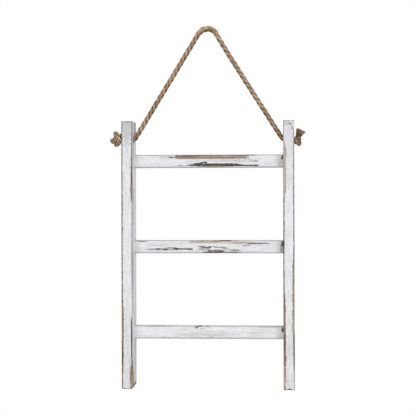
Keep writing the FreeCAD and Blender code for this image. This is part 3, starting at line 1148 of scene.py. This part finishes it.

# %% [markdown]
# ### Spots that only one rail has
# The left rail is greyer near its top and speckled low down. Towards its foot it has a dark line, then a
# brown edge and a tan patch, and its inner side is lightened by painted light. The right rail has an
# olive-grey band across its top end with lilac-grey paint below it, a pale chip at the corner and a dark
# nick next to that.
# A spot is a scuff. On the inner sides, its place across is measured in depth. The freckles' values
# are the heights at which the specks are full and gone, and how strong they are.

# %% Rail spots
NICK = (0.140, 0.140, 0.120)
SOOT = (0.034, 0.032, 0.028)
CHIP = (0.700, 0.650, 0.570)
CAP_GREY = (0.560, 0.565, 0.560)
LILAC_GREY = (0.604, 0.590, 0.650)
# Painted light: a lighter white that brightens the left rail's inner side.
INNER_SIDE_LIGHT = (0.930, 0.935, 0.945)
MID_GREY = (0.300, 0.300, 0.290)
LEFT_FRECKLES = (-0.590, -0.500, 0.70)
RIGHT_FRECKLES = (-0.640, -0.540, 0.30)
LEFT_FRONT = (
    (-151, -182, 14, 24, 4, 0.9, 0, 0.30, CAP_GREY),
    (-151, -184, 13, 38, 2, 2.6, 0, 0.38, MID_GREY),
    (-151, -171, 9, 2.4, 2, 0.7, 0, 0.70, GREY_BROWN),
    (-143.2, -645, 2.8, 27, 2, 2.6, 0, 0.95, DEEP_BROWN),
    (-141.6, -656, 2.2, 17, 2, 2.4, 0, 0.90, TAN),
    (-142.7, -577, 1.05, 42, 6, 0.4, 0, 1.00, SOOT),
)
RIGHT_FRONT = (
    (152, -200, 12, 32, 4, 1.6, 0, 0.50, LILAC_GREY),
    (149, -175.5, 9, 5.0, 3, 1.4, 0, 0.60, OLIVE_GREY),
    (150, -262, 11, 36, 2, 2.0, 0, 0.30, CAP_GREY),
    (158.3, -178, 3.2, 10.5, 2, 0.5, 0, 0.90, CHIP),
    (154, -177.6, 2.5, 1.7, 2, 2.2, 0, 0.95, NICK),
    (157, -184, 1.0, 4.2, 2, 2.2, 0, 0.80, GREY_BROWN),
    (152, -588, 4, 24, 2, 2.2, 0, 0.45, CAP_GREY),
    (152, -668.5, 4.0, 1.6, 2, 1.0, 0, 0.80, DIRT),
)
LEFT_SIDE = (
    # Painted light over the whole inner side.
    (0, -440, 20, 235, 8, 0.1, 0, 0.50, INNER_SIDE_LIGHT),
    (6, -171.5, 11, 5.5, 2, 1.2, 0, 0.85, NICK),
    (0, -186, 13, 13, 2, 1.6, 0, 0.55, OLIVE_GREY),
    (-9, -235, 5, 30, 2, 1.8, 0, 0.60, OLIVE_GREY),
    (-10, -330, 5, 45, 2, 1.6, 0, 0.60, OLIVE_GREY),
    (-10, -440, 4, 50, 2, 1.8, 0, 0.60, OLIVE_GREY),
    (8, -610, 7, 36, 2, 2.2, 0, 0.25, MID_GREY),
    (-12, -652, 5, 20, 2, 1.8, 0, 0.85, TAN),
    (0, -668, 16, 4.0, 3, 1.6, 0, 0.90, DEEP_BROWN),
)
RIGHT_SIDE = (
    (-8, -330, 5, 70, 2, 1.8, 0, 0.60, OLIVE_GREY),
    (0, -560, 9, 50, 2, 2.2, 0, 0.50, MID_GREY),
    (0, -668, 16, 4.0, 3, 1.6, 0, 0.90, DEEP_BROWN),
)
print("spots on the left rail:", len(LEFT_FRONT) + len(LEFT_SIDE))
print("spots on the right rail:", len(RIGHT_FRONT) + len(RIGHT_SIDE))

# %% Rail finishes
ALONG_RAIL = (1.0, 1.0, 0.09)
INNER_FACE = (RAIL_INNER + 0.0002, RAIL_INNER + 0.0010)
FRONT_FACE = (FRONT_Y + 0.001, FRONT_Y + 0.003)
RAIL_ENDS = ((RAIL_TOP, 0.0016, GREY_BROWN), (RAIL_FOOT, 0.0018, DARK_LINE))
END_WEAR = 0.75
RAILS = {
    "left": (-1, LEFT_ARRISES, LEFT_FRONT, LEFT_SIDE, LEFT_FRECKLES),
    "right": (1, RIGHT_ARRISES, RIGHT_FRONT, RIGHT_SIDE, RIGHT_FRECKLES),
}


def paint_and_grain(here, stretch):
    """The paint's colour and height, and the shade of the grain under it."""
    inputs = {"Vector": here, "Stretch": stretch}
    return use_group(white_paint, inputs), use_group(wood_grain, inputs)["Shade"]


def freckled(here, full, gone, strength, colour):
    """Adds fine grey specks to the lower part of a rail."""
    specks = ease(noise(here, scale=640.0, detail=1.0), 0.55, 0.64)
    low_down = ease(split(here)["Z"], full, gone, strength, 0.0)
    return blend_colours(times(specks, low_down), colour, MID_GREY)


def finish_paint(shader, colour, bare, paint_height):
    """Dresses the shader: paint stands a little proud of bare wood and is smoother."""
    film = minus(times(paint_height, 0.12), bare)
    roughness = ease(bare, 0.0, 1.0, 0.62, 0.85)
    dress(shader, colour, roughness, {"Height": film, "Strength": 0.6, "Distance": 0.0004})
    shader.inputs["Specular IOR Level"].default_value = 0.3


def rail_finish(side_name, sign, arrises, front_spots, side_spots, freckles):
    """The whole finish of one rail."""
    finish, shader, here = new_finish("painted_rail_" + side_name)
    parts = split(here)
    paint, grain = paint_and_grain(here, ALONG_RAIL)
    rough = roughness_of(here, (1.0, 1.0, 0.5), (1.0, 1.0, 0.8))
    inner_face = ease(times(parts["X"], float(sign)), *INNER_FACE, 1.0, 0.0)
    side_place = joined(X=parts["Y"], Z=parts["Z"])
    colour = spotted(side_place, rough, side_spots, inner_face, paint["Colour"])
    colour = freckled(here, *freckles, colour)
    hidden = {(sign * edge_x, RAIL_BACK): HIDDEN_WEAR for edge_x in (RAIL_INNER, RAIL_OUTER)}
    colour, bare = worn_along(here, {**arrises, **hidden}, grain, colour)
    front_face = ease(parts["Y"], *FRONT_FACE, 1.0, 0.0)
    colour = spotted(here, rough, front_spots, front_face, colour)
    for level, width, end_colour in RAIL_ENDS:
        at_end = end_mask(here, level, width)
        colour = blend_colours(times(at_end, END_WEAR), colour, end_colour)
    in_hole = hole_mask(parts)
    colour = blend_colours(in_hole, colour, scaled(BARE_WOOD, grain))
    finish_paint(shader, colour, larger(bare, in_hole), paint["Height"])
    return finish


def coat(node_name, finish):
    """Gives a piece of the solid model its finish."""
    slots = nodes[node_name].data.materials
    slots.clear()
    slots.append(finish)


for side_name, wear in RAILS.items():
    coat("rail_" + side_name, rail_finish(side_name, *wear))
    print("painted: rail_" + side_name)

# %% [markdown]
# ## Paint on the rungs
# The rungs are worn on their faces. The top one has lost its paint along most of its upper edge and has
# a dark streak low down. The middle one has a jagged line of open grain, a tan patch and dark blotches.
# The bottom one is nearly whole. At the right end of each rung a dark spot against the rail is a painted
# shadow. The rungs also get painted shade on their rounded edges and underneath. The marks could be
# painted by hand on an image, but as rows of scuffs they stay sharp at any size. Their heights are
# measured from the rung's middle.

# %% Rung marks
LATTE = (0.330, 0.255, 0.190)
BRICK = (0.250, 0.150, 0.110)
UMBER = (0.062, 0.048, 0.022)
OLIVE = (0.400, 0.350, 0.270)
RUST = (0.300, 0.140, 0.095)
MOUSE = (0.330, 0.325, 0.305)
ASH = (0.095, 0.093, 0.082)
TOP_MARKS = (
    (6, 8.8, 69, 4.6, 8, 0.70, 0.8, 0.96, LATTE),
    (-46, 7.0, 18, 3.0, 4, 0.9, 0.8, 0.80, BRICK),
    (20, 9.0, 40, 2.0, 2, 1.2, 0.8, 0.35, TAN),
    (-30, 10.0, 26, 0.9, 2, 1.2, 0.8, 0.60, UMBER),
    (5, 5.0, 60, 0.9, 4, 1.3, 0.8, 0.70, BROWN),
    (14, 7.4, 34, 0.5, 2, 1.6, 1.0, 0.55, GREY_BROWN),
    (0, 12.0, 66, 1.2, 4, 1.2, 0.5, 0.70, GREY_BROWN),
    (80, 11.2, 14, 1.1, 2, 0.9, 0.5, 0.95, ASH),
    (-60, 10.4, 2.6, 2.0, 2, 0.6, 0, 0.85, ASH),
    (-70, 7.6, 6.0, 1.5, 2, 0.9, 0.4, 0.92, ASH),
    (-84, 8.0, 10, 0.7, 2, 1.2, 0.4, 0.50, MOUSE),
    (-100, 12.3, 42, 1.1, 8, 0.6, 0.3, 0.45, MOUSE),
    (70, 5.6, 9, 0.9, 2, 0.9, 0.4, 0.85, ASH),
    (52, -0.2, 34, 0.8, 2, 1.4, 0.8, 0.60, MOUSE),
    (90, -0.2, 6.5, 0.9, 2, 0.8, 0.2, 0.85, ASH),
    (76, 3.6, 18, 0.7, 2, 1.4, 0.8, 0.60, MOUSE),
    (30, 2.0, 50, 1.2, 2, 2.4, 0.8, 0.35, MOUSE),
    (21, -7.1, 45, 3.0, 3, 0.7, 0.8, 0.97, UMBER),
    (8, -9.8, 28, 1.3, 2, 1.0, 0.6, 0.80, GREY_BROWN),
    (66, -8.2, 31, 1.3, 5, 0.7, 0.5, 0.96, SOOT),
    (90, -8.2, 5.0, 1.5, 2, 0.6, 0.2, 0.95, SOOT),
    (-22, -7.6, 22, 1.6, 2, 0.9, 0.8, 0.96, SOOT),
    (-18, -5.0, 15, 1.8, 2, 2.2, 2.0, 0.95, SOOT),
    (-9, -3.0, 7, 1.3, 2, 1.6, 1.5, 0.90, SOOT),
    (-5.5, -1.7, 2.6, 1.4, 2, 0.6, 0, 0.92, SOOT),
    (-54, -7.6, 4.5, 1.0, 2, 0.9, 0, 0.85, ASH),
)
MIDDLE_MARKS = (
    (-108, -4.4, 9, 1.1, 2, 0.8, 0.8, 0.90, ASH),
    (-96, -4.0, 8, 1.9, 2, 1.2, 1.4, 0.95, ASH),
    (-82.5, -4.6, 8, 2.2, 2, 1.2, 1.4, 0.95, ASH),
    (-73, -1.8, 11, 0.9, 2, 1.1, 1.6, 0.85, ASH),
    (-70, -5.5, 12, 0.9, 2, 1.1, 1.6, 0.85, ASH),
    (-64, -2.6, 5, 1.6, 2, 0.7, 0.8, 0.95, SOOT),
    (-46, -3.9, 18.5, 1.25, 6, 0.5, 0.7, 0.97, SOOT),
    (-36, -4.2, 7, 1.5, 2, 0.6, 0.5, 0.95, SOOT),
    (-100, 3.0, 22, 0.8, 2, 1.4, 0.8, 0.50, MOUSE),
    (-127, 10.6, 12, 1.2, 2, 0.7, 0.3, 0.70, ASH),
    (-60, 6.0, 40, 0.8, 2, 2.0, 1.0, 0.35, MOUSE),
    (8, 9.8, 44, 3.2, 3, 1.0, 1.0, 0.75, OLIVE),
    (42, 9.2, 30, 3.6, 2, 1.0, 1.0, 0.70, PALE_TAN),
    (15, 10.2, 12, 1.2, 2, 1.0, 0.8, 0.80, BROWN),
    (32, 11.9, 12, 1.3, 2, 0.7, 0.3, 0.90, UMBER),
    (54, 7.2, 19, 1.6, 2, 1.0, 1.0, 0.65, DUN),
    (70, 8.0, 17, 1.0, 2, 0.9, 0.8, 0.80, DUN),
    (93, 6.9, 23, 1.5, 3, 0.8, 0.8, 0.96, GREY_BROWN),
    (92, 6.7, 14, 0.8, 2, 0.8, 0.8, 0.80, ASH),
    (72, 3.2, 11, 1.6, 2, 1.1, 0.8, 0.70, DUN),
    (-13, 0.9, 8, 1.1, 2, 1.0, 1.4, 0.92, ASH),
    (-5, -1.4, 11, 1.4, 2, 1.2, 1.6, 0.95, ASH),
    (2, 0.2, 10, 1.2, 2, 2.0, 1.6, 0.75, ASH),
    (22, -0.7, 12, 1.0, 2, 0.8, 1.0, 0.92, ASH),
    (31, -2.4, 7, 0.9, 2, 1.0, 0.8, 0.80, ASH),
    (-16, -3.9, 5, 0.9, 2, 0.8, 0.6, 0.80, ASH),
    (-8, -4.6, 12, 1.5, 2, 2.4, 1.0, 0.60, MOUSE),
    (18, -6.4, 13, 1.5, 2, 1.7, 1.5, 0.85, ASH),
    (20, -8.4, 12, 1.2, 2, 1.3, 1.0, 0.90, ASH),
    (51, -6.1, 9, 1.3, 2, 1.0, 0.8, 0.90, ASH),
    (36, -4.6, 14, 0.8, 2, 2.0, 1.0, 0.60, ASH),
    (10, -9.8, 24, 1.4, 4, 0.7, 0.5, 0.95, SOOT),
    (44, -9.7, 18, 1.2, 2, 0.9, 0.5, 0.90, ASH),
    (1, -6.4, 3.4, 1.7, 2, 0.7, 0.3, 0.90, RUST),
    (3.8, -8.2, 4.0, 1.4, 2, 0.7, 0.3, 0.90, RUST),
    # Painted shadow: on the middle rung the dark spot at the right end reaches lower.
    (139, -2.0, 3.6, 8.0, 4, 2.2, 0, 0.55, ASH),
)
BOTTOM_MARKS = (
    (-23, 9.8, 4.2, 2.1, 2, 1.1, 0.8, 0.80, ASH),
    (-17, 11.8, 6.0, 1.4, 2, 0.9, 0.5, 0.85, ASH),
    (-12, 7.8, 5, 1.1, 2, 1.1, 0.5, 0.60, MOUSE),
    (-2, 11.6, 5, 1.8, 2, 1.2, 0.5, 0.70, MOUSE),
    (0, -3.5, 52, 5.5, 2, 2.6, 1.0, 0.32, MOUSE),
    (-100, 11.8, 24, 1.1, 2, 1.0, 0.5, 0.60, MOUSE),
    (105, 11.0, 30, 1.2, 2, 1.2, 0.5, 0.45, MOUSE),
    (105, 2.0, 34, 12, 2, 1.6, 0, 0.18, PALE_TAN),
    # The last two rows are painted shade along the whole lower edge of the bottom rung.
    (0, -11.0, 142, 3.6, 8, 1.2, 0.3, 0.22, MOUSE),
    (0, -12.4, 142, 1.5, 8, 0.5, 0.3, 0.70, MOUSE),
)
# Painted shadow: a dark spot at the right end of each rung, where the right rail meets it.
JOINT_SHADOW = (140.0, 6.6, 2.3, 4.6, 3, 1.3, 0.0, 0.95, SOOT)
print("marks on the rungs:", len(TOP_MARKS), len(MIDDLE_MARKS), len(BOTTOM_MARKS))

# %% Rung finishes
RUNGS = {
    "top": (-0.2450, 0.985, TOP_MARKS),
    "middle": (-0.4070, 0.985, MIDDLE_MARKS),
    "bottom": (-0.5690, 1.045, BOTTOM_MARKS),
}
ALONG_RUNG = (0.09, 1.0, 1.0)
RUNG_HALF = 0.0125
RUNG_EDGE = (RUNG_HALF - 0.0010, RUNG_HALF + 0.0006)
EDGE_SWING = 0.0022
# Painted shade under the rung, from its lower face up to 5 mm above it.
RUNG_UNDERSIDE_SHADE = (-RUNG_HALF, -RUNG_HALF + 0.0050)
RUNG_FRONT = (0.0035, 0.0055)
# Where the faint painted shadow of the right rail begins on each rung.
RAIL_SHADOW_FROM = 0.112
EDGE_BARE = 0.2


def paint_with_painted_shade(here, parts, paint_colour):
    """Paint with painted shade on the edges and underneath, and a faint painted shadow of the right rail at
    the right end. Also gives the edges' mask.
    """
    swing = noise(stretched(here, (0.15, 1.0, 1.0)), scale=240.0, detail=3.0, roughness=0.6)
    off_middle = figure("MULTIPLY_ADD", swing, EDGE_SWING, figure("ABSOLUTE", parts["Z"]))
    at_edge = ease(off_middle, *RUNG_EDGE)
    layers = (
        # Painted shade on the rung's rounded upper and lower edges.
        (times(at_edge, 0.62), OLIVE_GREY),
        # Painted shade on the lower part of the rung, darkest underneath.
        (ease(parts["Z"], *RUNG_UNDERSIDE_SHADE, 0.70, 0.0), OLIVE_GREY),
        # Faint painted shadow of the right rail towards the rung's right end.
        (ease(parts["X"], RAIL_SHADOW_FROM, RAIL_INNER, 0.0, 0.10), CAP_GREY),
    )
    return layered(paint_colour, layers), at_edge


def rubbed_back(here, front):
    """Long rubbed places on the back, which the picture does not show."""
    long_noise = noise(stretched(here, (0.07, 1.0, 1.0)), scale=260.0, detail=4.0, roughness=0.6)
    return times(ease(long_noise, 0.60, 0.68), minus(1.0, front))


def rung_finish(rung_name, level, tone, marks):
    """The whole finish of one rung."""
    finish, shader, here = new_finish("painted_rung_" + rung_name)
    on_rung = on_vector("SUBTRACT", here, (0.0, 0.0, level))
    parts = split(on_rung)
    paint, grain = paint_and_grain(here, ALONG_RUNG)
    rough = roughness_of(here, (0.22, 1.0, 1.0), (0.45, 1.0, 1.0))
    lengthwise = stretched(here, (1.0, 0.0, 0.0))
    wave = minus(noise(lengthwise, scale=170.0, detail=3.0, roughness=0.6), 0.5)
    colour, at_edge = paint_with_painted_shade(here, parts, scaled(paint["Colour"], tone))
    front = ease(parts["Y"], *RUNG_FRONT, 1.0, 0.0)
    bare = times(at_edge, EDGE_BARE)
    for *mark, strength, mark_colour in (*marks, JOINT_SHADOW):
        mask = times(scuff_mask(on_rung, rough, wave, mark), front)
        mask = times(mask, strength)
        colour = blend_colours(mask, colour, scaled(mark_colour, grain))
        bare = larger(bare, mask)
    rubbed = rubbed_back(here, front)
    colour = blend_colours(rubbed, colour, scaled(BROWN, grain))
    finish_paint(shader, colour, larger(bare, rubbed), paint["Height"])
    return finish


for rung_name, wear in RUNGS.items():
    coat("rung_" + rung_name, rung_finish(rung_name, *wear))
    print("painted: rung_" + rung_name)

# %% [markdown]
# ## Screws
# Two countersunk screws hold each end of a rung. They are plated steel that has gone dull. A mirror-like
# metal would catch the eye, so a faint cloud in the plating changes its colour and keeps it rough.

# %% Screw finish
STEEL = (0.480, 0.470, 0.445)
DULL_STEEL = (0.300, 0.292, 0.275)


def steel_finish():
    """The whole finish of the screws."""
    finish, shader, here = new_finish("plated_steel")
    cloud = noise(here, scale=700.0, detail=3.0, roughness=0.6)
    colour = blend_colours(ease(cloud, 0.4, 0.7), STEEL, DULL_STEEL)
    roughness = ease(cloud, 0.3, 0.7, 0.50, 0.70)
    dress(shader, colour, roughness, {"Height": cloud, "Strength": 0.2, "Distance": 0.0002})
    shader.inputs["Metallic"].default_value = 1.0
    return finish


steel = steel_finish()
screw_names = [name for name in nodes if name.startswith("screw_")]
for name in screw_names:
    coat(name, steel)
print("screws:", len(screw_names))

# %% [markdown]
# ## What stands for what
# The soft pieces stand for the solids of the rope, the knots and the tails, and stay on the wall with
# the hook. The woodwork swings under them.

# %% Soft pieces in place of the solids
soft_pieces = [(rope, "hanging_rope")]
for side_name in KNOTS:
    soft_pieces.append((knots[side_name], "knot_" + side_name))
    soft_pieces.append((tails[side_name], "tail_" + side_name))
for piece, node_name in soft_pieces:
    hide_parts(node_name)
on_the_rope = [piece for piece, node_name in soft_pieces[1:]] + fibres
for piece in (rope, *on_the_rope):
    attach(piece, "hanger")
